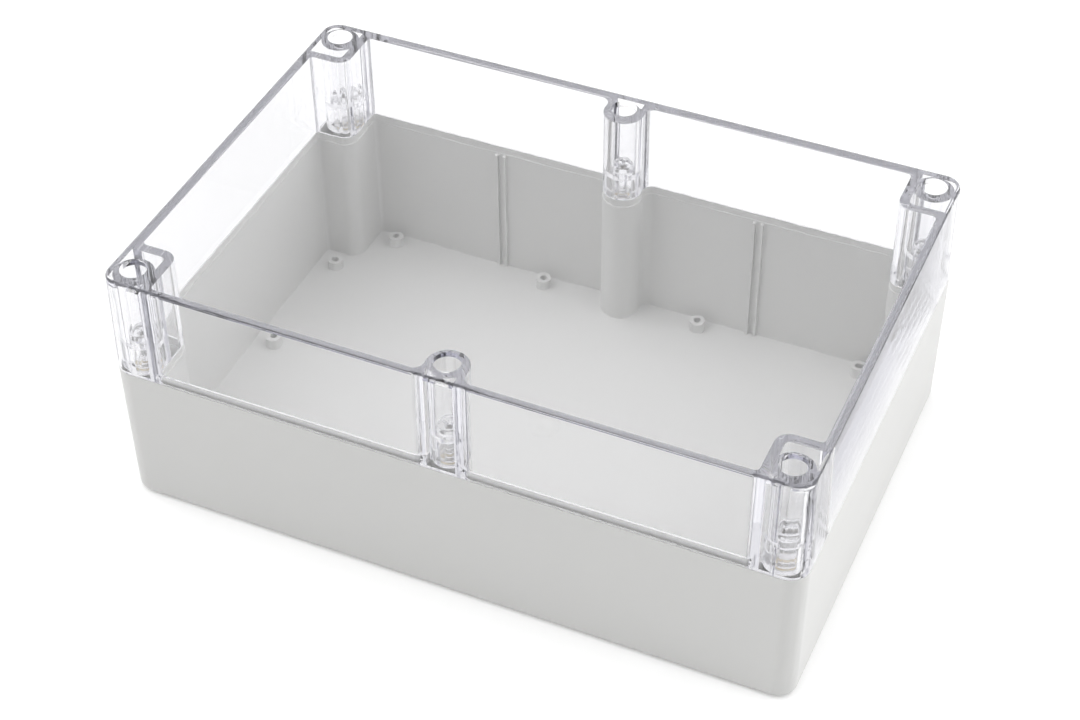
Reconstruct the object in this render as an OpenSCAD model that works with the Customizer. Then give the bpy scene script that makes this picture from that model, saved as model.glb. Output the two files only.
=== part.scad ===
// Sealed instrument enclosure: a moulded grey base, a deep clear polycarbonate lid,
// a gasket in the rim between them, and six captive lid screws that stand outside the seal.
// +X runs along the box, +Y across it, +Z up. The origin is under the middle of the base.

/* [Enclosure] */
// Outside length at the join
box_l = 240; // [210:1:320]
// Outside width at the join
box_w = 160; // [140:1:220]
// Height of the base, from its underside to the join
base_h = 56; // [44:1:90]
// Height of the lid above the join
lid_h = 39; // [32:1:60]
// Outside corner radius at the join
corner_r = 7; // [6:0.5:8.5]
// Wall thickness between the screw posts, base and lid
wall_t = 4; // [3.6:0.1:4.6]
// Wall thickness round the cells beside the screw posts
skin_t = 2.4; // [2:0.1:2.6]
// Thickness of the floor
floor_t = 3; // [2.4:0.1:4]
// Thickness of the lid's top
top_t = 3; // [2:0.1:4]

/* [Draft and edges] */
// Draft of the lid's outside, in degrees
lid_draft = 1.2; // [0.5:0.1:1.5]
// Draft of the base's outside, in degrees
base_draft = 0.5; // [0.3:0.1:0.8]
// Radius of the base's lower edge
foot_r = 3; // [1:0.25:4]
// Radius of the lid's upper edge
brow_r = 1.2; // [0.6:0.1:1.8]
// Radius of the two edges at the join
join_r = 0.4; // [0.2:0.1:0.6]

/* [Screw posts] */
// Distance of every lid screw from the outside faces
post_edge = 9; // [8.5:0.1:10]
// Outside radius of the posts in the middle of the long walls
post_r = 7.2; // [6.9:0.1:7.6]
// Radius of the flare where such a post meets its wall
flare_r = 3.3; // [2.5:0.1:4.5]
// Outside radius of the tubes in the corners of the lid
tube_r = 6.8; // [6.7:0.1:7]
// Thickness left round a well by the cell beside it
tube_t = 1.2; // [1:0.1:1.4]
// Half the width of the cell in front of a middle post
cell_half = 5; // [4:0.1:5.4]
// Depth of that cell from the outside face
cell_depth = 5.2; // [4.6:0.1:5.4]

/* [Corner walls] */
// Length of wall that a corner takes from the long side
nook_x = 18; // [17:0.5:21]
// Length of wall that a corner takes from the short side
nook_y = 22.5; // [21.5:0.5:27]
// Thickness of the wall round a corner
nook_t = 3.3; // [3:0.1:3.5]
// Radius of that wall's bend
nook_r = 5; // [4:0.25:6]
// Radius where inner walls meet
inner_r = 1.5; // [0.5:0.25:2.5]
// Radius in the outer corner of a cell
cell_r = 3; // [2:0.25:3.5]

/* [Seal] */
// Height of the base's inner rim above the join
rim_h = 2.5; // [1.6:0.1:4]
// Thickness of that rim
rim_t = 1; // [0.8:0.05:1.1]
// Width of the gasket groove
groove_w = 1.3; // [1.1:0.05:1.4]
// Depth of the gasket groove below the join
groove_h = 1.8; // [1.4:0.1:2.6]
// Thickness of the gasket when closed
gasket_h = 1.2; // [0.8:0.1:1.3]
// Clearance on each side of the gasket in its groove
gasket_gap = 0.03; // [0:0.01:0.1]
// Clearance between tongue, rim and groove
seal_gap = 0.12; // [0.08:0.01:0.2]
// How far the rim's inner face is set back
lead_in = 0.35; // [0.2:0.05:0.5]
// Height of that set-back band
lead_h = 3.1; // [2:0.1:5]

/* [Lid screws] */
// Diameter of the well that the screwdriver enters
well_d = 9; // [8.6:0.1:9.4]
// Height of the screw seat above the join
seat_h = 12; // [10:0.5:16]
// Thickness of the web under the screw head
web_t = 2.5; // [2:0.1:3.5]
// Diameter of the recess below that web
relief_d = 7.2; // [7:0.1:7.6]
// Thread diameter
thread_d = 3.5; // [3.2:0.1:4.2]
// Clearance of the thread in the lid, on the radius
lid_gap = 0.2; // [0.15:0.05:0.5]
// Running clearance of the thread in its insert, on the radius
thread_gap = 0.05; // [0.03:0.01:0.08]
// Head diameter
head_d = 7.4; // [6.8:0.1:7.8]
// Head height
head_h = 2.8; // [2.2:0.1:3.4]
// Depth of the cross recess
recess_h = 1.6; // [1:0.1:2]
// Width of the cross recess
recess_w = 1.1; // [0.8:0.1:1.4]
// Length of the cross recess
recess_l = 4.8; // [3.6:0.1:5.6]
// Reach of the thread below the join
screw_reach = 6.5; // [5:0.25:7]
// Chamfer at the end of the thread
screw_tip = 0.6; // [0.3:0.1:1]
// Outside diameter of the ring that keeps the screw in the lid
ring_d = 6.4; // [6:0.1:6.6]
// Thickness of that ring
ring_t = 1.4; // [1:0.1:2]
// Height of that ring above the join when the screw is tight
ring_z = 1; // [0.5:0.1:1.2]

/* [Threaded inserts] */
// Outside diameter of an insert
insert_d = 6; // [5.5:0.1:6.2]
// Length of an insert
insert_l = 8; // [6:0.5:9]
// Depth of an insert below the join
insert_sink = 0.2; // [0.1:0.05:0.4]
// Wall of plastic round an insert in a corner
boss_t = 1.6; // [1.4:0.1:1.8]
// Thickness of the webs that hold a corner boss
boss_web_t = 1.8; // [1.2:0.1:2.4]
// Hole below an insert, for the screw's tip
tip_l = 5; // [3:0.5:9]

/* [Mounting] */
// Diameter of the wall-mounting holes
mount_d = 4.5; // [4:0.1:4.8]
// Distance of those holes from the short sides of the box
mount_x = 9; // [7:0.1:10]
// Distance of those holes from the long sides of the box
mount_y = 16.5; // [16.3:0.1:16.7]
// Outside diameter of the circuit-board bosses
pcb_boss_d = 5.6; // [5:0.1:7]
// Diameter of their pilot holes
pcb_hole_d = 2.6; // [2:0.1:3]
// Height of their tops above the floor
pcb_boss_h = 4; // [3:0.5:8]
// Floor left under a pilot hole
pcb_floor_t = 1.6; // [1.2:0.1:2]
// Distance of the long rows of bosses from the long sides
pcb_row = 9.5; // [8.5:0.5:14]
// Spacing of the bosses along those rows
pcb_pitch_x = 62; // [50:1:64]
// Distance of the short rows from the short sides
pcb_column = 12; // [10:0.5:16]
// Spacing of the bosses along the short rows
pcb_pitch_y = 49; // [35:1:51]

/* [Guide ribs] */
// Distance of a pair of ribs from the middle of the box
rib_x = 50; // [35:1:70]
// Clear slot between the ribs of a pair
rib_slot = 2; // [1.4:0.1:3]
// Thickness of a rib
rib_t = 1; // [0.8:0.1:1.5]
// How far a rib stands out from the wall
rib_h = 1.2; // [0.8:0.1:2]

/* [Hidden] */
$fn = 64;

box_h = base_h + lid_h;
rim_top = base_h + rim_h;
ceiling_z = box_h - top_t;
seat_z = base_h + seat_h;
web_z = seat_z - web_t;
tip_z = base_h - screw_reach;
insert_top = base_h - insert_sink;
insert_z = insert_top - insert_l;
ring_base = base_h + ring_z;
groove_z = base_h - groove_h;
gasket_top = groove_z + gasket_h;
boss_r = insert_d / 2 + boss_t;
pcb_top = floor_t + pcb_boss_h;
over = 1;          // how far a cut runs past the face that it opens
bite = 0.5;        // how far an added feature reaches into what carries it

// Half sizes of the sealed space, and the place of its corner walls
hall_x = box_l / 2 - wall_t;
hall_y = box_w / 2 - wall_t;
bend_x = box_l / 2 - nook_x;
bend_y = box_w / 2 - nook_y;

// Lid screw axes: four corners, then the middle of each long wall
screw_x = box_l / 2 - post_edge;
screw_y = box_w / 2 - post_edge;
SCREWS = [
    [-screw_x, -screw_y], [screw_x, -screw_y],
    [screw_x, screw_y], [-screw_x, screw_y],
    [0, -screw_y], [0, screw_y]
];

// Points of an arc round c, from angle a to angle b
function arc(c, r, a, b, steps) =
    [for (i = [0:steps]) c + r * [cos(a + (b - a) * i / steps), sin(a + (b - a) * i / steps)]];

function mirrored(points, sx, sy) = [for (p = points) [p[0] * sx, p[1] * sy]];
function reversed(points) = [for (i = [len(points) - 1:-1:0]) points[i]];
function rest_of(points) = [for (i = [1:len(points) - 1]) points[i]];

// One quarter of the line that the seal follows, from a middle post round a corner wall.
// grow moves the line from the sealed space into the walls.
function seal_quarter(grow) =
    let (
        post = [0, screw_y],
        flare_y = hall_y - flare_r,
        flare_x = sqrt(pow(post_r + flare_r, 2) - pow(flare_y - screw_y, 2)),
        lean = atan2(flare_y - screw_y, flare_x)
    )
    concat(
        arc(post, post_r - grow, -90, lean, 11),
        arc([flare_x, flare_y], flare_r + grow, 180 + lean, 90, 8),
        arc([bend_x - inner_r, hall_y - inner_r], inner_r + grow, 90, 0, 5),
        arc([bend_x + nook_r, bend_y + nook_r], nook_r - grow, 180, 270, 9),
        arc([hall_x - inner_r, bend_y - inner_r], inner_r + grow, 90, 0, 5)
    );

function seal_line(grow) =
    let (q = seal_quarter(grow))
    concat(
        q,
        reversed(mirrored(q, 1, -1)),
        rest_of(mirrored(q, -1, -1)),
        rest_of(reversed(rest_of(mirrored(q, -1, 1))))
    );

// Solid over the sealed space, grown into the walls
module seal_block(grow, z0, z1) {
    translate([0, 0, z0])
        linear_extrude(z1 - z0)
            polygon(seal_line(grow));
}

// Points on whole thousandths, so that straight walls and turned corners share them exactly
function on_grid(points) = [for (p = points) [round(p[0] * 1000), round(p[1] * 1000)] / 1000];

// Solid box whose outer face follows a line of [inset, height] points on every side
module shell_block(face) {
    z0 = face[0][1];
    z1 = face[len(face) - 1][1];
    turned = on_grid([for (p = face) [corner_r - p[0], p[1]]]);
    centre = [box_l / 2 - corner_r, box_w / 2 - corner_r];
    for (i = [0, 1])
        rotate([90, 0, 90 * (1 - i)])
            linear_extrude(2 * centre[i], center = true)
                polygon(concat(
                    [for (p = turned) [centre[1 - i] + p[0], p[1]]],
                    reversed([for (p = turned) [-centre[1 - i] - p[0], p[1]]])
                ));
    for (x = [-1, 1], y = [-1, 1])
        translate([x * centre[0], y * centre[1], 0])
            rotate_extrude()
                polygon(concat(turned, [[0, z1], [0, z0]]));
}

// Outer face of the base, from the underside to the join
function base_face() =
    let (lean = tan(base_draft), foot = (base_h - foot_r) * lean)
    concat(
        arc([foot + foot_r, foot_r], foot_r, 270, 180, 6),
        arc([join_r, base_h - join_r], join_r, 180, 90, 3)
    );

// Outer face of the lid, from the join to its top
function lid_face() =
    let (lean = tan(lid_draft), brow = (lid_h - brow_r) * lean)
    concat(
        arc([join_r, base_h + join_r], join_r, 270, 180, 3),
        arc([brow + brow_r, box_h - brow_r], brow_r, 180, 90, 5)
    );

// Repeats its child, drawn in the corner at +X +Y, in all four corners
module each_corner() {
    for (mx = [0, 1], my = [0, 1])
        mirror([mx, 0, 0])
            mirror([0, my, 0])
                children();
}

// Repeats its child, drawn at the middle of the +Y wall, at both long walls
module each_long_wall() {
    for (my = [0, 1])
        mirror([0, my, 0])
            children();
}

module each_screw() {
    for (p = SCREWS)
        translate([p[0], p[1], 0])
            children();
}

// Cell between the outer skin and the corner wall, at +X +Y
module corner_cell(z0, z1) {
    near = [bend_x + nook_t, bend_y + nook_t];
    far = [box_l / 2 - skin_t, box_w / 2 - skin_t];
    bend = nook_r - nook_t;
    translate([0, 0, z0])
        linear_extrude(z1 - z0)
            polygon(concat(
                arc(near + [bend, bend], bend, 270, 180, 4),
                [[near[0], far[1]]],
                arc(far - [cell_r, cell_r], cell_r, 90, 0, 6),
                [[far[0], near[1]]]
            ));
}

// Cell between the outer skin and a post in the middle of the +Y wall
module middle_cell(z0, z1, core_r) {
    difference() {
        translate([-cell_half, box_w / 2 - cell_depth, z0])
            cube([2 * cell_half, cell_depth - skin_t, z1 - z0]);
        translate([0, screw_y, z0 - over])
            cylinder(h = z1 - z0 + 2 * over, r = core_r);
    }
}

// Insert boss of a corner with the webs that tie it to the walls, at +X +Y
module corner_boss(z1) {
    translate([screw_x, screw_y, 0])
        cylinder(h = z1, r = boss_r);
    translate([screw_x - boss_web_t / 2, screw_y, 0])
        cube([boss_web_t, post_edge - bite, z1]);
    translate([bend_x + bite, screw_y - boss_web_t / 2, 0])
        cube([nook_x - post_edge, boss_web_t, z1]);
}

// Circuit-board boss places
function pcb_places() =
    concat(
        [for (i = [-1.5:1:1.5], s = [-1, 1]) [i * pcb_pitch_x, s * (box_w / 2 - pcb_row)]],
        [for (i = [-1:1], s = [-1, 1]) [s * (box_l / 2 - pcb_column), i * pcb_pitch_y]]
    );

module pcb_bosses() {
    for (p = pcb_places())
        translate([p[0], p[1], floor_t - bite])
            cylinder(h = pcb_boss_h + bite, d = pcb_boss_d);
}

module pcb_pilot_holes() {
    for (p = pcb_places())
        translate([p[0], p[1], pcb_floor_t])
            cylinder(h = pcb_top - pcb_floor_t + over, d = pcb_hole_d);
}

// Two pairs of ribs on each long wall that hold the edges of a board
module guide_ribs() {
    top = rim_top - lead_h - bite;
    each_long_wall()
        for (side = [-1, 1], edge = [-1, 1])
            translate([side * rib_x + edge * (rib_slot + rib_t) / 2 - rib_t / 2, hall_y - rib_h, floor_t - bite])
                cube([rib_t, rib_h + bite, top - floor_t + bite]);
}

// The base before its posts are drilled: shell, gasket groove, inner rim and open cells
module base_moulding() {
    difference() {
        union() {
            difference() {
                shell_block(base_face());
                seal_block(rim_t + groove_w, groove_z, rim_top + over);
            }
            seal_block(rim_t, floor_t, rim_top);
        }
        seal_block(0, floor_t, rim_top + over);
        seal_block(lead_in, rim_top - lead_h, rim_top + over);
        each_corner()
            difference() {
                corner_cell(floor_t, base_h + over);
                corner_boss(base_h + 2 * over);
            }
        each_long_wall()
            middle_cell(floor_t, base_h + over, insert_d / 2 + tube_t);
    }
}

module base() {
    color([0.80, 0.80, 0.79])
        difference() {
            union() {
                base_moulding();
                pcb_bosses();
                guide_ribs();
            }
            pcb_pilot_holes();
            each_screw() {
                translate([0, 0, insert_z])
                    cylinder(h = base_h - insert_z + over, d = insert_d);
                translate([0, 0, insert_z - tip_l])
                    cylinder(h = tip_l + over, d = thread_d + 2 * lid_gap);
            }
            each_corner()
                translate([box_l / 2 - mount_x, box_w / 2 - mount_y, -over])
                    cylinder(h = floor_t + 2 * over, d = mount_d);
        }
}

module lid() {
    color([0.86, 0.89, 0.91, 0.4])
        difference() {
            union() {
                shell_block(lid_face());
                seal_block(rim_t + groove_w - seal_gap, gasket_top, base_h + over);
            }
            seal_block(0, base_h, ceiling_z);
            seal_block(rim_t + seal_gap, gasket_top - over, rim_top + seal_gap);
            each_corner()
                difference() {
                    corner_cell(base_h - over, ceiling_z);
                    translate([screw_x, screw_y, base_h - 2 * over])
                        cylinder(h = lid_h + 2 * over, r = tube_r);
                }
            each_long_wall()
                middle_cell(base_h - over, ceiling_z, well_d / 2 + tube_t);
            each_screw() {
                translate([0, 0, seat_z])
                    cylinder(h = box_h - seat_z + over, d = well_d);
                translate([0, 0, base_h - over])
                    cylinder(h = seat_h + 2 * over, d = thread_d + 2 * lid_gap);
                translate([0, 0, base_h - over])
                    cylinder(h = web_z - base_h + over, d = relief_d);
            }
        }
}

// One closed strip that lies in the groove all the way round, inside every screw
module gasket() {
    color([0.93, 0.93, 0.92])
        difference() {
            seal_block(rim_t + groove_w - gasket_gap, groove_z, gasket_top);
            seal_block(rim_t + gasket_gap, groove_z - over, gasket_top + over);
        }
}

module lid_screw() {
    color([0.86, 0.89, 0.91, 0.6])
        difference() {
            union() {
                translate([0, 0, seat_z])
                    cylinder(h = head_h, d = head_d);
                translate([0, 0, tip_z + screw_tip])
                    cylinder(h = seat_z - tip_z - screw_tip + bite, d = thread_d);
                translate([0, 0, tip_z])
                    cylinder(h = screw_tip, d1 = thread_d - 2 * screw_tip, d2 = thread_d);
            }
            for (turn = [0, 90])
                rotate([0, 0, turn])
                    translate([-recess_l / 2, -recess_w / 2, seat_z + head_h - recess_h])
                        cube([recess_l, recess_w, recess_h + over]);
        }
}

module threaded_insert() {
    color([0.78, 0.62, 0.30])
        translate([0, 0, insert_z])
            difference() {
                cylinder(h = insert_l, d = insert_d);
                translate([0, 0, -over])
                    cylinder(h = insert_l + 2 * over, d = thread_d + 2 * thread_gap);
            }
}

// Ring on the thread that keeps a loosened screw in the lid
module screw_ring() {
    color([0.86, 0.89, 0.91, 0.6])
        translate([0, 0, ring_base])
            difference() {
                cylinder(h = ring_t, d = ring_d);
                translate([0, 0, -over])
                    cylinder(h = ring_t + 2 * over, d = thread_d);
            }
}

base();
lid();
gasket();
for (i = [1:6]) {
    place = [SCREWS[i - 1][0], SCREWS[i - 1][1], 0];
    translate(place) lid_screw();
    translate(place) threaded_insert();
    translate(place) screw_ring();
}
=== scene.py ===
"""Dresses the sealed enclosure: mouldings with finished edges, seal, captive screws and inserts, and a stage."""

import math

import bmesh
import bpy
from mathutils import Matrix, Vector


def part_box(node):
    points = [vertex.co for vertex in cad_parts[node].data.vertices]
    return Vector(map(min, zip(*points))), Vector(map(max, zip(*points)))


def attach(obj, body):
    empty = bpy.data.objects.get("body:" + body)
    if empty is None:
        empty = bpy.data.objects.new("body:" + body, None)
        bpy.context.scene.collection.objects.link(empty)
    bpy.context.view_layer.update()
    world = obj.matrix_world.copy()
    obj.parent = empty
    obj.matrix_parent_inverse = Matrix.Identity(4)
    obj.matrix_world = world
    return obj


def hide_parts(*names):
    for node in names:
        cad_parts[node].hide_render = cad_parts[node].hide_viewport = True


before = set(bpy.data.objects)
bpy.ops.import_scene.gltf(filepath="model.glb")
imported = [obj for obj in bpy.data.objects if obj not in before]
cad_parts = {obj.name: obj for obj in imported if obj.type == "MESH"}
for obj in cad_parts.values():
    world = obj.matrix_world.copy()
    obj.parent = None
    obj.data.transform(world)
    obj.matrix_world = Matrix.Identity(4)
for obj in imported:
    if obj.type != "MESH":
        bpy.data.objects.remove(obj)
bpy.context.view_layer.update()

bl_info = {
    "name": "Sealed Enclosure Finish",
    "version": (1, 0, 0),
    "blender": (4, 5, 0),
    "location": "View3D > Sidebar > Enclosure",
    "description": "Finishes the mouldings, seal, lid screws and inserts of a sealed enclosure",
    "category": "Object",
}

MM = 0.001


# ------------------------------------------------------------------ sizes taken from the frame

def top_of(node):
    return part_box(node)[1].z


def bottom_of(node):
    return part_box(node)[0].z


def middle_of(node):
    low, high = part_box(node)
    return (low + high) / 2


def width_of(node):
    low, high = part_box(node)
    return high.x - low.x


SCREW_NODES = [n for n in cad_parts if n.startswith("lid_screw_")]
RING_NODES = [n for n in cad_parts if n.startswith("screw_ring_")]
INSERT_NODES = [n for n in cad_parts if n.startswith("threaded_insert_")]
TONGUE_DROP = 0.6 * MM            # how far the lid's tongue reaches below the join
JOIN_Z = bottom_of("lid") + TONGUE_DROP
FLOOR_TOP = 3.0 * MM              # upper face of the base's floor
SHANK_RADIUS = 1.75 * MM          # lid screws
HEAD_HEIGHT = 2.8 * MM
THREAD_TOP = 57.0 * MM            # underside of the retaining rings
RING_BORE_RADIUS = 1.76 * MM
INSERT_BORE_RADIUS = 1.80 * MM

MERGE_DISTANCE = 0.002 * MM       # corners closer than this are one corner
FLAT_ANGLE = math.radians(0.02)   # faces that turn by less than this are joined
SMOOTH_ANGLE = math.radians(35)   # faces that turn by less than this are shaded as one
MATCH_DISTANCE = 0.02 * MM        # heights and radii closer than this are the same

GLASS_BOUNCES = 40                # light that is caught inside the clear walls needs many turns to leave
MIRROR_BOUNCES = 32


# ------------------------------------------------------------------ settings

class MouldingSettings(bpy.types.PropertyGroup):
    edge_round: bpy.props.FloatProperty(
        name="Edge round", description="Width of the small round on every sharp moulded edge",
        default=0.16 * MM, min=0.02 * MM, max=0.4 * MM, subtype="DISTANCE", unit="LENGTH")
    edge_steps: bpy.props.IntProperty(
        name="Edge steps", description="Faces across that round", default=2, min=1, max=4)
    sharp_angle: bpy.props.FloatProperty(
        name="Sharp angle", description="Edges that turn by more than this are rounded",
        default=math.radians(33), min=math.radians(20), max=math.radians(60), subtype="ANGLE")
    air_gap: bpy.props.FloatProperty(
        name="Air gap", description="Air left where the clear lid rests on another piece",
        default=0.06 * MM, min=0.0, max=0.2 * MM, subtype="DISTANCE", unit="LENGTH")


class BasePlasticSettings(bpy.types.PropertyGroup):
    colour: bpy.props.FloatVectorProperty(
        name="Colour", description="Colour of the base's plastic",
        default=(0.652, 0.652, 0.642), min=0.0, max=1.0, size=3, subtype="COLOR")
    mottle: bpy.props.FloatProperty(
        name="Mottle", description="How much the colour varies over the moulding",
        default=0.02, min=0.0, max=0.2, subtype="FACTOR")
    roughness: bpy.props.FloatProperty(
        name="Roughness", description="Roughness of the matt moulded surface",
        default=0.46, min=0.1, max=0.9, subtype="FACTOR")
    grain: bpy.props.FloatProperty(
        name="Grain size", description="Size of the fine mould texture",
        default=0.55 * MM, min=0.1 * MM, max=3 * MM, subtype="DISTANCE", unit="LENGTH")
    grain_depth: bpy.props.FloatProperty(
        name="Grain depth", description="Height of the fine mould texture",
        default=0.02 * MM, min=0.0, max=0.2 * MM, subtype="DISTANCE", unit="LENGTH")


class ClearPlasticSettings(bpy.types.PropertyGroup):
    colour: bpy.props.FloatVectorProperty(
        name="Colour", description="Tint of each surface of the clear plastic",
        default=(0.985, 0.985, 0.990), min=0.0, max=1.0, size=3, subtype="COLOR")
    depth_colour: bpy.props.FloatVectorProperty(
        name="Depth colour", description="Colour that light keeps on its way through the plastic",
        default=(0.60, 0.60, 0.68), min=0.0, max=1.0, size=3, subtype="COLOR")
    density: bpy.props.FloatProperty(
        name="Density", description="Strength of that colour, per metre", default=14.0, min=0.0, max=200.0)
    roughness: bpy.props.FloatProperty(
        name="Roughness", description="Roughness of the polished faces",
        default=0.015, min=0.0, max=0.3, subtype="FACTOR")
    refraction: bpy.props.FloatProperty(
        name="Refractive index", description="Refractive index of polycarbonate", default=1.585, min=1.3, max=1.8)
    ripple: bpy.props.FloatProperty(
        name="Ripple length", description="Length of the slow waves in the moulded faces",
        default=14 * MM, min=2 * MM, max=80 * MM, subtype="DISTANCE", unit="LENGTH")
    ripple_depth: bpy.props.FloatProperty(
        name="Ripple depth", description="Height of those waves",
        default=0.03 * MM, min=0.0, max=0.5 * MM, subtype="DISTANCE", unit="LENGTH")


class SealSettings(bpy.types.PropertyGroup):
    colour: bpy.props.FloatVectorProperty(
        name="Colour", description="Colour of the silicone gasket",
        default=(0.70, 0.70, 0.68), min=0.0, max=1.0, size=3, subtype="COLOR")


class ScrewSettings(bpy.types.PropertyGroup):
    colour: bpy.props.FloatVectorProperty(
        name="Colour", description="Tint of the clear screws and rings",
        default=(0.96, 0.96, 0.97), min=0.0, max=1.0, size=3, subtype="COLOR")
    haze: bpy.props.FloatProperty(
        name="Haze", description="Roughness of the clear screws and rings",
        default=0.05, min=0.0, max=0.5, subtype="FACTOR")
    pitch: bpy.props.FloatProperty(
        name="Thread pitch", description="Pitch of the lid screws' thread",
        default=0.7 * MM, min=0.3 * MM, max=2 * MM, subtype="DISTANCE", unit="LENGTH")
    thread_depth: bpy.props.FloatProperty(
        name="Thread depth", description="Depth of that thread",
        default=0.38 * MM, min=0.1 * MM, max=0.8 * MM, subtype="DISTANCE", unit="LENGTH")
    head_round: bpy.props.FloatProperty(
        name="Head round", description="Round on the head's upper edge",
        default=0.6 * MM, min=0.1 * MM, max=1.2 * MM, subtype="DISTANCE", unit="LENGTH")
    recess_width: bpy.props.FloatProperty(
        name="Recess width", description="Width of the cross recess",
        default=1.1 * MM, min=0.5 * MM, max=2 * MM, subtype="DISTANCE", unit="LENGTH")
    recess_length: bpy.props.FloatProperty(
        name="Recess length", description="Length of the cross recess",
        default=4.8 * MM, min=2 * MM, max=6 * MM, subtype="DISTANCE", unit="LENGTH")
    recess_depth: bpy.props.FloatProperty(
        name="Recess depth", description="Depth of the cross recess",
        default=1.6 * MM, min=0.5 * MM, max=2.2 * MM, subtype="DISTANCE", unit="LENGTH")


class InsertSettings(bpy.types.PropertyGroup):
    colour: bpy.props.FloatVectorProperty(
        name="Colour", description="Colour of the brass", default=(0.68, 0.60, 0.44),
        min=0.0, max=1.0, size=3, subtype="COLOR")
    teeth: bpy.props.IntProperty(
        name="Knurl teeth", description="Teeth of the knurl round an insert", default=30, min=12, max=60)
    tooth_depth: bpy.props.FloatProperty(
        name="Tooth depth", description="Depth of the knurl",
        default=0.22 * MM, min=0.05 * MM, max=0.5 * MM, subtype="DISTANCE", unit="LENGTH")


class StageSettings(bpy.types.PropertyGroup):
    floor_glow: bpy.props.FloatProperty(
        name="Floor glow", description="Light added to the floor where it is looked at or mirrored",
        default=0.16, min=0.0, max=1.0)
    floor_colour: bpy.props.FloatVectorProperty(
        name="Floor colour", description="Colour of the plain floor",
        default=(0.86, 0.86, 0.86), min=0.0, max=1.0, size=3, subtype="COLOR")
    overhead: bpy.props.FloatProperty(
        name="Overhead", description="Brightness of the soft lamp from above",
        default=1.45, min=0.0, max=9.0)
    rear_right: bpy.props.FloatProperty(
        name="Rear right", description="Brightness of the soft lamp from low behind the right end",
        default=3.62, min=0.0, max=9.0)
    rear_left: bpy.props.FloatProperty(
        name="Rear left", description="Brightness of the soft lamp from low behind the left end",
        default=0.44, min=0.0, max=9.0)
    left: bpy.props.FloatProperty(
        name="Left", description="Brightness of the soft lamp from low on the left",
        default=0.71, min=0.0, max=9.0)
    high_right: bpy.props.FloatProperty(
        name="High right", description="Brightness of the soft lamp from high on the right",
        default=1.18, min=0.0, max=9.0)
    high_left: bpy.props.FloatProperty(
        name="High left", description="Brightness of the soft lamp from high on the left",
        default=1.39, min=0.0, max=9.0)
    high_front: bpy.props.FloatProperty(
        name="High front", description="Brightness of the soft lamp from high in front of the left end",
        default=1.13, min=0.0, max=9.0)
    lamp_sharpness: bpy.props.FloatProperty(
        name="Lamp sharpness", description="How tightly each soft lamp is held", default=12.0, min=1.0, max=60.0)
    paleness: bpy.props.FloatProperty(
        name="Paleness", description="How pale the room is where it is looked at or mirrored",
        default=1.0, min=0.0, max=2.0)
    view_azimuth: bpy.props.FloatProperty(
        name="View azimuth", description="Turn of the camera round the box",
        default=math.radians(24.22), subtype="ANGLE")
    view_elevation: bpy.props.FloatProperty(
        name="View elevation", description="Height angle of the camera",
        default=math.radians(42.33), subtype="ANGLE")
    view_roll: bpy.props.FloatProperty(
        name="View roll", description="Tilt of the camera about its own axis",
        default=math.radians(-0.56), subtype="ANGLE")
    view_distance: bpy.props.FloatProperty(
        name="View distance", description="Distance of the camera from the point it looks at",
        default=820 * MM, min=0.2, subtype="DISTANCE", unit="LENGTH")
    view_target: bpy.props.FloatVectorProperty(
        name="View target", description="Point that the camera looks at",
        default=(-17.3 * MM, 36.2 * MM, 0.0), size=3, subtype="XYZ", unit="LENGTH")
    lens: bpy.props.FloatProperty(
        name="Lens", description="Focal length in millimetres on a 36 mm sensor", default=74.47, min=10, max=300)


# ------------------------------------------------------------------ selecting and shaping

def only(obj):
    """Make one object active and selected, with nothing else selected."""
    if bpy.context.object and bpy.context.object.mode != "OBJECT":
        bpy.ops.object.mode_set(mode="OBJECT")
    bpy.ops.object.select_all(action="DESELECT")
    obj.select_set(True)
    bpy.context.view_layer.objects.active = obj


def edit(obj, mode="FACE"):
    """Open one object in edit mode with nothing selected."""
    only(obj)
    bpy.ops.object.mode_set(mode="EDIT")
    bpy.ops.mesh.select_mode(type=mode)
    bpy.ops.mesh.select_all(action="DESELECT")


def pick(kind, test):
    """Select the verts, edges or faces of the open mesh that pass a test, and return how many."""
    mesh = bmesh.from_edit_mesh(bpy.context.object.data)
    bpy.ops.mesh.select_all(action="DESELECT")
    chosen = [part for part in getattr(mesh, kind) if test(part)]
    for part in chosen:
        part.select_set(True)
    mesh.select_flush_mode()
    bmesh.update_edit_mesh(bpy.context.object.data)
    if not chosen:
        raise RuntimeError(f"nothing to shape on {bpy.context.object.name}")
    return len(chosen)


def leave_edit():
    bpy.ops.object.mode_set(mode="OBJECT")


def centre_of(face):
    return face.calc_center_median()


def near(a, b, within=MATCH_DISTANCE):
    return abs(a - b) < within


def modify(obj, kind, **settings):
    """Add a modifier, set it and apply it."""
    only(obj)
    modifier = obj.modifiers.new(kind.title(), kind)
    for key, value in settings.items():
        setattr(modifier, key, value)
    bpy.ops.object.modifier_apply(modifier=modifier.name)


def settle(obj):
    """Put a finished piece's object at the origin, unturned and unscaled, with its place in its mesh."""
    only(obj)
    bpy.ops.object.transform_apply(location=True, rotation=True, scale=True)


def shade(obj, angle=SMOOTH_ANGLE):
    only(obj)
    bpy.ops.object.shade_smooth_by_angle(angle=angle)


def cylinder(name, radius, low, high, sides):
    """Upright cylinder on the Z axis, as a new piece."""
    bpy.ops.object.select_all(action="DESELECT")
    bpy.ops.mesh.primitive_cylinder_add(
        vertices=sides, radius=radius, depth=high - low, location=(0, 0, (low + high) / 2))
    piece = bpy.context.object
    piece.name = name
    piece.data.name = name
    return piece


def copy_to(model, name, place):
    """Copy of a piece with a mesh of its own, moved to a place in the frame."""
    piece = bpy.data.objects.new(name, model.data.copy())
    piece.data.name = name
    piece.data.transform(Matrix.Translation(place))
    bpy.context.scene.collection.objects.link(piece)
    return piece


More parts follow.
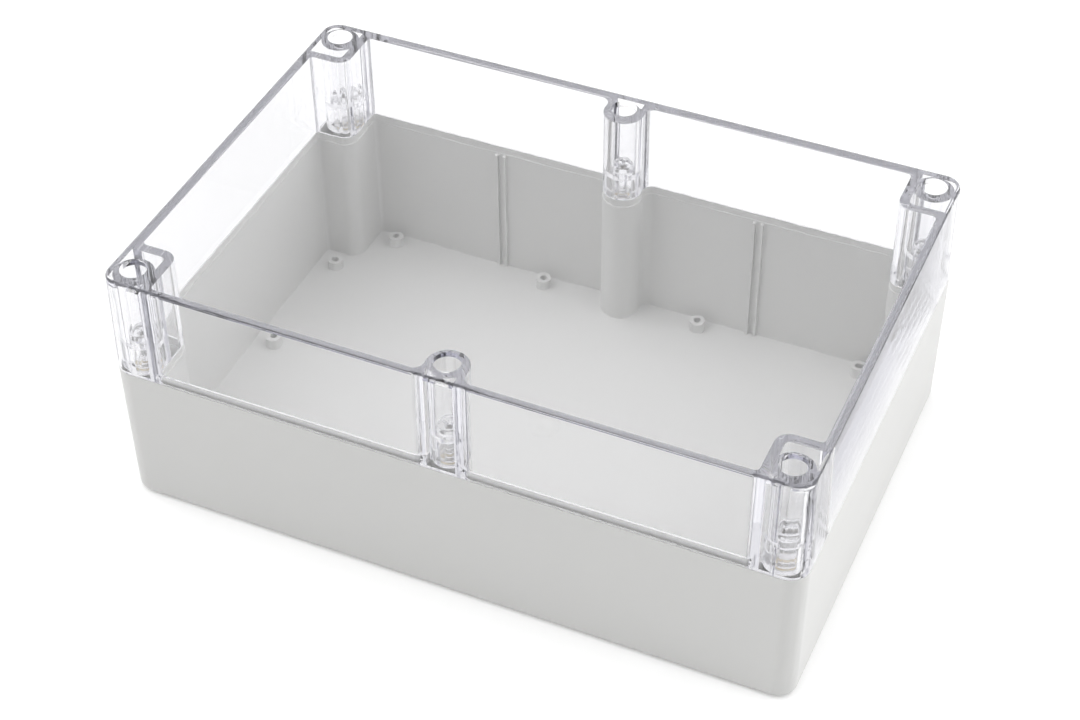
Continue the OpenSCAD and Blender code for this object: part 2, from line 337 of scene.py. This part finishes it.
def hand_over(piece, body, material, slot, *nodes):
    """Give a finished piece its finish, its body and the solids that it stands for."""
    piece.data.materials.clear()
    piece.data.materials.append(material)
    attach(piece, body)
    if nodes:
        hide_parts(*nodes)


def moulded_copy(node, name):
    """Copy of a solid with its corners merged and its flat faces joined."""
    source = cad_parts[node]
    piece = bpy.data.objects.new(name, source.data.copy())
    piece.data.name = name
    bpy.context.scene.collection.objects.link(piece)
    only(piece)
    bpy.ops.mesh.customdata_custom_splitnormals_clear()
    edit(piece, "VERT")
    bpy.ops.mesh.select_all(action="SELECT")
    bpy.ops.mesh.remove_doubles(threshold=MERGE_DISTANCE)
    bpy.ops.mesh.dissolve_limited(angle_limit=FLAT_ANGLE)
    leave_edit()
    return piece


def round_edges(piece, settings):
    """Small round on every edge that turns sharply."""
    edit(piece, "EDGE")
    bpy.ops.mesh.edges_select_sharp(sharpness=settings.sharp_angle)
    bpy.ops.transform.edge_bevelweight(value=1.0)
    leave_edit()
    modify(piece, "BEVEL", limit_method="WEIGHT", width=settings.edge_round, segments=settings.edge_steps,
           use_clamp_overlap=True, miter_outer="MITER_ARC", harden_normals=False)
    shade(piece)
    modify(piece, "WEIGHTED_NORMAL", mode="FACE_AREA", weight=100, keep_sharp=True)


# ------------------------------------------------------------------ materials

class Socket:
    """Output of a node that sums, scales and compares as a number does, by adding Math nodes."""

    def __init__(self, board, output):
        self.board = board
        self.output = output

    def _math(self, operation, *values):
        return self.board.node("ShaderNodeMath", {"operation": operation}, dict(enumerate(values)))

    def __add__(self, other):
        return self._math("ADD", self, other)

    __radd__ = __add__

    def __sub__(self, other):
        return self._math("SUBTRACT", self, other)

    def __rsub__(self, other):
        return self._math("SUBTRACT", other, self)

    def __mul__(self, other):
        return self._math("MULTIPLY", self, other)

    __rmul__ = __mul__

    def __truediv__(self, other):
        return self._math("DIVIDE", self, other)

    def __rtruediv__(self, other):
        return self._math("DIVIDE", other, self)

    def __pow__(self, other):
        return self._math("POWER", self, other)

    def __gt__(self, other):
        return self._math("GREATER_THAN", self, other)


class Board:
    """Node tree of a material or a world, filled from formulas."""

    def __init__(self, owner):
        owner.use_nodes = True
        self.tree = owner.node_tree
        self.tree.nodes.clear()

    def node(self, kind, settings=None, sockets=None, output=0):
        """Add a node, set it, give its sockets values or links, and return one of its outputs."""
        made = self.tree.nodes.new(kind)
        for key, value in (settings or {}).items():
            setattr(made, key, value)
        for key, value in (sockets or {}).items():
            if isinstance(value, Socket):
                self.tree.links.new(value.output, made.inputs[key])
            else:
                made.inputs[key].default_value = value
        return Socket(self, made.outputs[output]) if made.outputs else None

    def place(self):
        return self.node("ShaderNodeTexCoord", output="Object")

    def noise(self, size, detail=2.0, roughness=0.5, at=None):
        """Noise from 0 to 1 whose lumps are about as long as size."""
        return self.node("ShaderNodeTexNoise", {"noise_dimensions": "3D"},
                         {"Vector": at or self.place(), "Scale": 1.0 / size, "Detail": detail,
                          "Roughness": roughness}, "Fac")

    def stretched(self, x, y, z):
        """Object coordinates stretched along each axis."""
        return self.node("ShaderNodeMapping", {}, {"Vector": self.place(), "Scale": (x, y, z)})

    def shades(self, mask, dark, light):
        """Colour between two, by a mask."""
        return self.node("ShaderNodeMix", {"data_type": "RGBA"},
                         {"Factor": mask, 6: (*dark, 1.0), 7: (*light, 1.0)}, 2)

    def bump(self, height, distance, strength=1.0, under=None):
        sockets = {"Height": height, "Distance": distance, "Strength": strength}
        if under:
            sockets["Normal"] = under
        return self.node("ShaderNodeBump", {}, sockets)

    def surface(self, shader, volume=None):
        sockets = {"Surface": shader}
        if volume:
            sockets["Volume"] = volume
        self.node("ShaderNodeOutputMaterial", {}, sockets)


def scaled(colour, factor):
    return tuple(min(1.0, channel * factor) for channel in colour)


def finish(name):
    """New or emptied material of that name."""
    material = bpy.data.materials.get(name) or bpy.data.materials.new(name)
    return material, Board(material)


def base_plastic():
    s = bpy.context.scene.enclosure_base_plastic
    material, board = finish("base_plastic")
    slow = board.noise(38 * MM, 3.0, 0.55)
    fine = board.noise(s.grain, 2.0, 0.6)
    flow = board.noise(9 * MM, 2.0, 0.5, board.stretched(0.35, 0.35, 1.0))
    colour = board.shades(0.7 * slow + 0.3 * fine, scaled(s.colour, 1 - s.mottle), scaled(s.colour, 1 + s.mottle))
    roughness = s.roughness - 0.04 + 0.08 * flow + 0.04 * (fine - 0.5)
    waves = board.bump(flow, 0.012 * MM)
    normal = board.bump(fine, s.grain_depth, 1.0, waves)
    board.surface(board.node("ShaderNodeBsdfPrincipled", {}, {
        "Base Color": colour, "Roughness": roughness, "Normal": normal, "IOR": 1.5,
        "Specular IOR Level": 0.45}))
    return material


def clear_plastic():
    s = bpy.context.scene.enclosure_clear_plastic
    material, board = finish("clear_lid")
    slow = board.noise(s.ripple, 1.0, 0.4)
    streaks = board.noise(6 * MM, 1.0, 0.4, board.stretched(1.0, 1.0, 0.16))
    normal = board.bump(0.7 * slow + 0.3 * streaks, s.ripple_depth)
    haze = s.roughness + 0.01 * slow
    shader = board.node("ShaderNodeBsdfPrincipled", {}, {
        "Base Color": (*s.colour, 1.0), "Roughness": haze, "Normal": normal, "IOR": s.refraction,
        "Transmission Weight": 1.0})
    depth = board.node("ShaderNodeVolumeAbsorption", {}, {"Color": (*s.depth_colour, 1.0), "Density": s.density})
    board.surface(shader, depth)
    return material


def silicone():
    s = bpy.context.scene.enclosure_seal
    material, board = finish("seal_silicone")
    bloom = board.noise(4 * MM, 3.0, 0.6)
    skin = board.noise(0.3 * MM, 2.0, 0.6)
    board.surface(board.node("ShaderNodeBsdfPrincipled", {}, {
        "Base Color": board.shades(bloom, scaled(s.colour, 0.95), scaled(s.colour, 1.04)),
        "Roughness": 0.52 + 0.12 * bloom, "Normal": board.bump(skin, 0.01 * MM), "IOR": 1.41}))
    return material


def clear_fixing(name):
    """Clear plastic of the screws and rings, a little hazier than the polished lid."""
    s = bpy.context.scene.enclosure_screws
    lid = bpy.context.scene.enclosure_clear_plastic
    material, board = finish(name)
    cloud = board.noise(1.6 * MM, 2.0, 0.5)
    board.surface(board.node("ShaderNodeBsdfPrincipled", {}, {
        "Base Color": (*s.colour, 1.0), "Roughness": s.haze * (0.7 + 0.6 * cloud),
        "Normal": board.bump(cloud, 0.01 * MM), "IOR": lid.refraction, "Transmission Weight": 1.0}))
    return material


def brass():
    s = bpy.context.scene.enclosure_inserts
    material, board = finish("insert_brass")
    tarnish = board.noise(1.2 * MM, 3.0, 0.6)
    turning = board.noise(0.35 * MM, 1.0, 0.5, board.stretched(0.08, 0.08, 1.0))
    board.surface(board.node("ShaderNodeBsdfPrincipled", {}, {
        "Base Color": board.shades(tarnish, scaled(s.colour, 0.86), scaled(s.colour, 1.05)),
        "Roughness": 0.24 + 0.16 * tarnish, "Normal": board.bump(turning, 0.006 * MM), "Metallic": 1.0}))
    return material


# ------------------------------------------------------------------ pieces

class ENCLOSURE_OT_base(bpy.types.Operator):
    """Make the grey base moulding"""
    bl_idname = "enclosure.base"
    bl_label = "Base"

    def execute(self, context):
        s = context.scene.enclosure_moulding
        piece = moulded_copy("base", "base_moulding")
        round_edges(piece, s)
        hand_over(piece, "base_body", base_plastic(), "base_plastic", "base")
        return {"FINISHED"}


class ENCLOSURE_OT_lid(bpy.types.Operator):
    """Make the clear lid moulding"""
    bl_idname = "enclosure.lid"
    bl_label = "Lid"

    def execute(self, context):
        s = context.scene.enclosure_moulding
        piece = moulded_copy("lid", "lid_moulding")
        tongue = bottom_of("lid")
        edit(piece, "VERT")
        pick("verts", lambda v: near(v.co.z, JOIN_Z) or near(v.co.z, tongue))
        bpy.ops.transform.translate(value=(0, 0, s.air_gap))
        leave_edit()
        round_edges(piece, s)
        hand_over(piece, "lid_body", clear_plastic(), "clear_lid", "lid")
        return {"FINISHED"}


class ENCLOSURE_OT_gasket(bpy.types.Operator):
    """Make the gasket that lies in the base's groove"""
    bl_idname = "enclosure.gasket"
    bl_label = "Gasket"

    def execute(self, context):
        s = context.scene.enclosure_moulding
        piece = moulded_copy("gasket", "gasket_strip")
        round_edges(piece, s)
        hand_over(piece, "base_body", silicone(), "seal_rubber", "gasket")
        return {"FINISHED"}


def floor_mark_model(floor_z):
    """Low round mark that the gate leaves: a ring with a small nib in its middle."""
    piece = cylinder("gate_mark", 5.6 * MM, floor_z - 0.3 * MM, floor_z + 0.07 * MM, 72)
    edit(piece)
    pick("faces", lambda f: f.normal.z > 0.9)
    bpy.ops.mesh.inset(thickness=0.75 * MM)
    bpy.ops.mesh.inset(thickness=0.18 * MM)
    bpy.ops.transform.translate(value=(0, 0, -0.05 * MM))
    bpy.ops.mesh.inset(thickness=3.9 * MM)
    bpy.ops.mesh.inset(thickness=0.15 * MM)
    bpy.ops.transform.translate(value=(0, 0, 0.09 * MM))
    leave_edit()
    settle(piece)
    modify(piece, "BEVEL", limit_method="ANGLE", angle_limit=math.radians(40), width=0.03 * MM, segments=2)
    shade(piece)
    return piece


class ENCLOSURE_OT_floor_mark(bpy.types.Operator):
    """Make the faint round gate mark in the middle of the floor"""
    bl_idname = "enclosure.floor_mark"
    bl_label = "Gate mark"

    def execute(self, context):
        piece = floor_mark_model(FLOOR_TOP)
        hand_over(piece, "base_body", base_plastic(), "base_plastic")
        return {"FINISHED"}


def cross_cutter(s, low, high):
    """Tapered cross that cuts the driver recess."""
    arms = []
    for turn in (0.0, math.pi / 2):
        bpy.ops.object.select_all(action="DESELECT")
        bpy.ops.mesh.primitive_cube_add(size=1, location=(0, 0, (low + high) / 2))
        arm = bpy.context.object
        arm.dimensions = (s.recess_length, s.recess_width, high - low)
        arm.rotation_euler.z = turn
        settle(arm)
        edit(arm)
        pick("faces", lambda f: f.normal.z < -0.9)
        bpy.ops.transform.resize(value=(0.55, 0.75, 1) if turn == 0 else (0.75, 0.55, 1))
        leave_edit()
        arms.append(arm)
    modify(arms[0], "BOOLEAN", operation="UNION", object=arms[1], solver="EXACT")
    bpy.data.objects.remove(arms[1])
    return arms[0]


def thread_model(pitch, depth, radius, low, high):
    """Helical ridge of a thread, as one closed strip round the Z axis."""
    turns = int((high - low) / pitch) - 1
    bpy.ops.object.select_all(action="DESELECT")
    bpy.ops.mesh.primitive_plane_add(size=1, location=(radius - depth / 2, 0, low + pitch / 2),
                                     rotation=(math.pi / 2, 0, 0))
    piece = bpy.context.object
    piece.name = "thread_ridge"
    piece.dimensions = (depth * 1.5, pitch * 0.9, 0)
    settle(piece)
    edit(piece, "VERT")
    pick("verts", lambda v: v.co.x > radius - depth / 2)
    bpy.ops.transform.resize(value=(1, 1, 0.16))
    leave_edit()
    outer = max(v.co.x for v in piece.data.vertices)
    edit(piece, "VERT")
    bpy.ops.mesh.select_all(action="SELECT")
    bpy.ops.transform.translate(value=(radius - outer, 0, 0))
    leave_edit()
    modify(piece, "SCREW", angle=2 * math.pi, screw_offset=pitch, iterations=turns, steps=28, render_steps=28,
           axis="Z", use_merge_vertices=False)
    edit(piece)
    bpy.ops.mesh.select_all(action="SELECT")
    bpy.ops.mesh.normals_make_consistent(inside=False)
    leave_edit()
    return piece


def screw_model():
    """Captive lid screw on the Z axis: rounded head, cross recess, clear shank and a moulded thread."""
    s = bpy.context.scene.enclosure_screws
    node = SCREW_NODES[0]
    tip, top = bottom_of(node), top_of(node)
    head_r = width_of(node) / 2
    seat = top - HEAD_HEIGHT
    lift = bpy.context.scene.enclosure_moulding.air_gap
    piece = cylinder("lid_screw", head_r, seat + lift, top, 48)
    edit(piece)
    pick("faces", lambda f: f.normal.z < -0.9)
    bpy.ops.mesh.inset(thickness=head_r - (SHANK_RADIUS - s.thread_depth * 0.8))
    bpy.ops.mesh.extrude_region_move(TRANSFORM_OT_translate={"value": (0, 0, tip - seat - lift + 0.6 * MM)})
    bpy.ops.mesh.extrude_region_move(TRANSFORM_OT_translate={"value": (0, 0, -0.6 * MM)})
    bpy.ops.transform.resize(value=(0.72, 0.72, 1))
    leave_edit()
    settle(piece)
    edit(piece, "EDGE")
    pick("edges", lambda e: all(near(v.co.z, top) and near(v.co.xy.length, head_r) for v in e.verts))
    bpy.ops.mesh.bevel(offset=s.head_round, segments=5, profile=0.6)
    pick("edges", lambda e: all(near(v.co.z, seat + lift) and near(v.co.xy.length, head_r) for v in e.verts))
    bpy.ops.mesh.bevel(offset=0.2 * MM, segments=2)
    leave_edit()
    cutter = cross_cutter(s, top - s.recess_depth, top + 0.4 * MM)
    modify(piece, "BOOLEAN", operation="DIFFERENCE", object=cutter, solver="EXACT")
    bpy.data.objects.remove(cutter)
    ridge = thread_model(s.pitch, s.thread_depth, SHANK_RADIUS, tip + 0.3 * MM, THREAD_TOP)
    only(piece)
    ridge.select_set(True)
    bpy.ops.object.join()
    shade(piece, math.radians(30))
    return piece


def spread(model, nodes, prefix, body_of_piece, material, slot):
    """Copy a model to the place of every node of its kind and delete the model."""
    for node in nodes:
        place = middle_of(node)
        number = node.rsplit("_", 1)[1]
        piece = copy_to(model, f"{prefix}_{number}", Vector((place.x, place.y, 0)))
        hand_over(piece, body_of_piece(number), material, slot, node)
    bpy.data.objects.remove(model)


class ENCLOSURE_OT_screws(bpy.types.Operator):
    """Make the six captive lid screws"""
    bl_idname = "enclosure.screws"
    bl_label = "Lid screws"

    def execute(self, context):
        spread(screw_model(), SCREW_NODES, "captive_screw", "screw_body_{}".format,
               clear_fixing("clear_screw"), "clear_screw")
        return {"FINISHED"}


def tube_model(name, outer, inner, low, high, sides, chamfer):
    """Tube on the Z axis with chamfered rims."""
    piece = cylinder(name, outer, low, high, sides)
    edit(piece)
    pick("faces", lambda f: abs(f.normal.z) > 0.9)
    bpy.ops.mesh.inset(thickness=outer - inner)
    bpy.ops.mesh.delete(type="FACE")
    bpy.ops.mesh.select_mode(type="EDGE")
    pick("edges", lambda e: all(near(v.co.xy.length, inner) for v in e.verts))
    bpy.ops.mesh.bridge_edge_loops()
    leave_edit()
    settle(piece)
    modify(piece, "BEVEL", limit_method="ANGLE", angle_limit=math.radians(50), width=chamfer, segments=3)
    return piece


class ENCLOSURE_OT_rings(bpy.types.Operator):
    """Make the rings that keep loosened screws in the lid"""
    bl_idname = "enclosure.rings"
    bl_label = "Retaining rings"

    def execute(self, context):
        node = RING_NODES[0]
        model = tube_model("retaining_ring", width_of(node) / 2, RING_BORE_RADIUS, bottom_of(node), top_of(node), 48,
                           0.22 * MM)
        shade(model)
        spread(model, RING_NODES, "retaining_ring", "screw_body_{}".format,
               clear_fixing("clear_ring"), "clear_screw")
        return {"FINISHED"}


def insert_model():
    """Brass insert on the Z axis: two knurled bands with a plain groove between them."""
    s = bpy.context.scene.enclosure_inserts
    node = INSERT_NODES[0]
    low, high = bottom_of(node), top_of(node)
    radius = width_of(node) / 2
    piece = cylinder("threaded_insert", radius, low, high, 2 * s.teeth)
    length = high - low
    cuts = [low + part * length for part in (0.06, 0.42, 0.58, 0.94)]
    for height in cuts:
        edit(piece)
        bpy.ops.mesh.select_all(action="SELECT")
        bpy.ops.mesh.bisect(plane_co=(0, 0, height), plane_no=(0, 0, 1))
    leave_edit()
    settle(piece)

    def on_band(face, bands):
        z = centre_of(face).z
        return abs(face.normal.z) < 0.1 and any(a < z < b for a, b in bands)

    edit(piece)
    pick("faces", lambda f: on_band(f, [(cuts[1], cuts[2])]))
    bpy.ops.mesh.extrude_region_move()
    bpy.ops.transform.resize(value=(0.9, 0.9, 1))
    knurled = [(cuts[0], cuts[1]), (cuts[2], cuts[3])]
    step = math.pi / s.teeth

    def sunk(face):
        middle = centre_of(face)
        return on_band(face, knurled) and int(math.floor(math.atan2(middle.y, middle.x) / step + 0.25)) % 2 == 0

    pick("faces", sunk)
    bpy.ops.mesh.inset(thickness=0.02 * MM, depth=-s.tooth_depth, use_individual=True)
    bpy.ops.mesh.select_mode(type="FACE")
    pick("faces", lambda f: abs(f.normal.z) > 0.9 and any(near(centre_of(f).z, z) for z in (low, high))
         and f.calc_area() > 0.1 * radius * radius)
    bpy.ops.mesh.inset(thickness=radius - INSERT_BORE_RADIUS)
    bpy.ops.mesh.delete(type="FACE")
    bpy.ops.mesh.select_mode(type="EDGE")
    pick("edges", lambda e: all(near(v.co.xy.length, INSERT_BORE_RADIUS, 0.03 * MM) for v in e.verts))
    bpy.ops.mesh.bridge_edge_loops(number_cuts=10)
    leave_edit()
    only(piece)
    shade(piece, math.radians(25))
    return piece


class ENCLOSURE_OT_inserts(bpy.types.Operator):
    """Make the brass inserts in the base's posts"""
    bl_idname = "enclosure.inserts"
    bl_label = "Threaded inserts"

    def execute(self, context):
        spread(insert_model(), INSERT_NODES, "brass_insert", lambda number: "base_body", brass(), "insert_brass")
        return {"FINISHED"}


# ------------------------------------------------------------------ stage

LAMPS = {
    "overhead": (0, 0, 1),
    "rear_right": (1, 1, 0.12),
    "rear_left": (-1, 1, 0.12),
    "left": (-1, 0, 0.09),
    "high_right": (1, 0, 0.9),
    "high_left": (-1, 0, 0.9),
    "high_front": (-0.7, -0.7, 0.9),
}


def room_light(world, s):
    """Soft lamps round the box; the room is evenly pale where it is looked at or mirrored."""
    board = Board(world)
    ray = board.node("ShaderNodeLightPath")
    direction = board.node("ShaderNodeTexCoord", output="Generated")
    lit = 0.0
    for lamp, way in LAMPS.items():
        facing = board.node("ShaderNodeVectorMath", {"operation": "DOT_PRODUCT"},
                            {0: direction, 1: tuple(Vector(way).normalized())}, "Value")
        lit = lit + getattr(s, lamp) * (facing * 0.5 + 0.5) ** s.lamp_sharpness
    seen = 1.0 - (Socket(board, ray.output.node.outputs["Diffuse Depth"]) > 0.5)
    strength = lit * (1.0 - seen) + s.paleness * seen
    background = board.node("ShaderNodeBackground", {}, {"Color": (1, 1, 1, 1), "Strength": strength})
    board.node("ShaderNodeOutputWorld", {}, {"Surface": background})


def floor_finish(s):
    """Plain pale floor: matt, with a faint tooth, and as pale as paper where it is looked at or mirrored."""
    material, board = finish("stage_floor")
    tooth = board.noise(2 * MM, 2.0, 0.5)
    matt = board.node("ShaderNodeBsdfPrincipled", {}, {
        "Base Color": board.shades(tooth, scaled(s.floor_colour, 0.99), s.floor_colour),
        "Roughness": 0.9, "Specular IOR Level": 0.1})
    ray = board.node("ShaderNodeLightPath").output.node.outputs
    seen = 1.0 - (Socket(board, ray["Diffuse Depth"]) > 0.5)
    glow = board.node("ShaderNodeEmission", {}, {"Color": (1, 1, 1, 1), "Strength": seen * s.floor_glow})
    board.surface(board.node("ShaderNodeAddShader", {}, {0: matt, 1: glow}))
    return material


class ENCLOSURE_OT_stage(bpy.types.Operator):
    """Set the floor, the soft room light and the camera"""
    bl_idname = "enclosure.stage"
    bl_label = "Stage"

    def execute(self, context):
        scene = context.scene
        s = scene.enclosure_stage
        bpy.ops.object.select_all(action="DESELECT")
        bpy.ops.mesh.primitive_plane_add(size=8, location=(0, 0, 0))
        floor = context.object
        floor.name = "floor"
        floor.data.materials.append(floor_finish(s))

        world = scene.world or bpy.data.worlds.new("room")
        scene.world = world
        room_light(world, s)

        bpy.ops.object.camera_add()
        camera = context.object
        camera.name = "camera"
        out = Vector((math.sin(s.view_azimuth) * math.cos(s.view_elevation),
                      -math.cos(s.view_azimuth) * math.cos(s.view_elevation),
                      math.sin(s.view_elevation)))
        target = Vector(s.view_target)
        turn = (-out).to_track_quat("-Z", "Y").to_matrix().to_4x4() @ Matrix.Rotation(s.view_roll, 4, "Z")
        camera.matrix_world = Matrix.Translation(target + out * s.view_distance) @ turn
        camera.data.sensor_width = 36
        camera.data.lens = s.lens
        camera.data.clip_start = 0.01
        camera.data.dof.use_dof = False
        scene.camera = camera
        scene.view_settings.view_transform = "Standard"
        scene.cycles.blur_glossy = 0.0
        scene.cycles.max_bounces = GLASS_BOUNCES
        scene.cycles.transmission_bounces = GLASS_BOUNCES
        scene.cycles.glossy_bounces = MIRROR_BOUNCES
        return {"FINISHED"}


# ------------------------------------------------------------------ panel and registration

PIECES = [
    ("enclosure.base", ENCLOSURE_OT_base),
    ("enclosure.floor_mark", ENCLOSURE_OT_floor_mark),
    ("enclosure.gasket", ENCLOSURE_OT_gasket),
    ("enclosure.lid", ENCLOSURE_OT_lid),
    ("enclosure.screws", ENCLOSURE_OT_screws),
    ("enclosure.rings", ENCLOSURE_OT_rings),
    ("enclosure.inserts", ENCLOSURE_OT_inserts),
    ("enclosure.stage", ENCLOSURE_OT_stage),
]

SETTINGS = {
    "enclosure_moulding": MouldingSettings,
    "enclosure_base_plastic": BasePlasticSettings,
    "enclosure_clear_plastic": ClearPlasticSettings,
    "enclosure_seal": SealSettings,
    "enclosure_screws": ScrewSettings,
    "enclosure_inserts": InsertSettings,
    "enclosure_stage": StageSettings,
}


class ENCLOSURE_PT_panel(bpy.types.Panel):
    """Pieces of the enclosure, and the sizes and colours that they use"""
    bl_idname = "ENCLOSURE_PT_panel"
    bl_label = "Sealed enclosure"
    bl_space_type = "VIEW_3D"
    bl_region_type = "UI"
    bl_category = "Enclosure"

    def draw(self, context):
        layout = self.layout
        column = layout.column(align=True)
        for idname, _ in PIECES:
            column.operator(idname)
        for name, group in SETTINGS.items():
            box = layout.box()
            box.label(text=group.__name__.replace("Settings", ""))
            for key in group.__annotations__:
                box.prop(getattr(context.scene, name), key)


CLASSES = [*SETTINGS.values(), *[operator for _, operator in PIECES], ENCLOSURE_PT_panel]


def register():
    for cls in CLASSES:
        bpy.utils.register_class(cls)
    for name, group in SETTINGS.items():
        setattr(bpy.types.Scene, name, bpy.props.PointerProperty(type=group))


def unregister():
    for name in SETTINGS:
        delattr(bpy.types.Scene, name)
    for cls in reversed(CLASSES):
        bpy.utils.unregister_class(cls)


def main():
    register()
    bpy.ops.enclosure.base()
    bpy.ops.enclosure.floor_mark()
    bpy.ops.enclosure.gasket()
    bpy.ops.enclosure.lid()
    bpy.ops.enclosure.screws()
    bpy.ops.enclosure.rings()
    bpy.ops.enclosure.inserts()
    bpy.ops.enclosure.stage()


if __name__ == "__main__":
    main()
